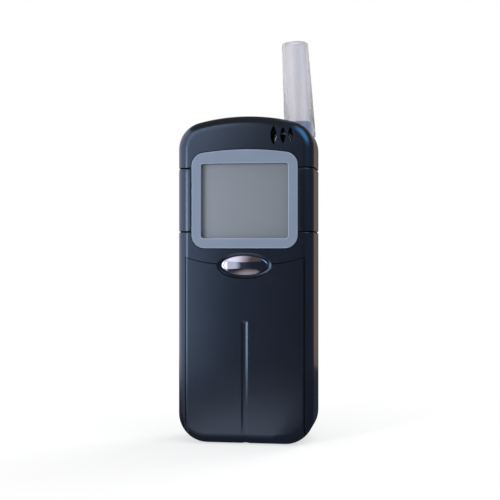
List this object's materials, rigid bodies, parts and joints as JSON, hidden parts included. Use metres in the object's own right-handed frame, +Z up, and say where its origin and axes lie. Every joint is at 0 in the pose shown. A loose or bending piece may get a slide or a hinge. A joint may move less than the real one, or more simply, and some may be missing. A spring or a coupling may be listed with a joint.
{
  "type": "breath alcohol tester",
  "caption": "Handheld digital breath tester standing upright, with a raised display frame, an oval power key, a clipped-on front panel and a pull-off blow tube at the top.",
  "frame": {"origin": "middle of the foot that the tester stands on", "axes": "+Z up towards the mouthpiece, -Y out of the display, +X to the right as the display is read"},
  "size_m": [0.0498, 0.028, 0.1477],
  "materials": {
    "black_housing": "satin blue-black moulding with a fine texture",
    "black_panel": "satin blue-black moulding, a little smoother than the housing",
    "grey_bezel": "satin blue-grey paint",
    "clear_window": "clear polished pane",
    "lcd_grey": "plain grey liquid crystal face",
    "chrome_plate": "bright chrome plating on a moulded key",
    "frosted_polymer": "milky translucent polypropylene",
    "blue_black_polymer": "smooth dark blue moulding",
    "bright_steel": "bright drawn steel",
    "nickel_plate": "nickel plated",
    "green_board": "green solder mask on glass laminate",
    "black_package": "black moulded package",
    "white_polymer": "white moulding",
    "dark_rubber": "matt elastomer",
    "cell_sleeve": "plain dark blue sleeve over a steel can"
  },
  "bodies": {
    "tester": {"front_housing": "black_housing", "rear_housing": "black_housing", "left_grip": "black_housing", "right_grip": "black_housing", "front_panel": "black_panel", "lcd_bezel": "grey_bezel", "display_window": "clear_window", "lcd_glass": "lcd_grey", "lcd_frame": "white_polymer", "lcd_contact_strip": "dark_rubber", "tact_switch": "black_package", "main_board": "green_board", "controller_chip": "black_package", "clock_crystal": "bright_steel", "buzzer": "black_package", "smoothing_capacitor": "bright_steel", "board_screw_1": "nickel_plate", "board_screw_2": "nickel_plate", "housing_screw_1": "nickel_plate", "housing_screw_2": "nickel_plate", "housing_screw_3": "nickel_plate", "housing_screw_4": "nickel_plate", "housing_screw_5": "nickel_plate", "breath_inlet": "blue_black_polymer", "inlet_seal": "dark_rubber", "sensor_chamber": "black_package", "alcohol_sensor": "bright_steel", "left_cell": "cell_sleeve", "right_cell": "cell_sleeve", "bridge_contact": "nickel_plate", "positive_contact": "nickel_plate", "negative_contact": "nickel_plate", "lower_contact_spring": "nickel_plate", "upper_contact_spring": "nickel_plate"},
    "power_button": {"power_button": "chrome_plate"},
    "switch_stem": {"switch_stem": "white_polymer"},
    "mouthpiece": {"mouthpiece": "frosted_polymer"},
    "battery_door": {"battery_door": "black_housing"}
  },
  "joints": [
    {"name": "power_button_press", "type": "slide", "parent": "tester", "child": "power_button", "axis": [0, 1, 0], "range_m": [0, 0.0005], "stiffness_N_per_m": 400, "springref_m": -0.0005},
    {"name": "switch_stem_press", "type": "slide", "parent": "tester", "child": "switch_stem", "axis": [0, 1, 0], "range_m": [0, 0.0005]},
    {"name": "mouthpiece_pull", "type": "slide", "parent": "tester", "child": "mouthpiece", "axis": [-0.0576, 0, 0.9983], "range_m": [0, 0.012]},
    {"name": "battery_door_tilt", "type": "hinge", "parent": "tester", "child": "battery_door", "pos_m": [0, 0.0142, 0.0661], "axis": [1, 0, 0], "range_deg": [0, 35]}
  ],
  "couplings": [
    {"joint": "switch_stem_press", "follows": "power_button_press", "ratio": 1}
  ]
}
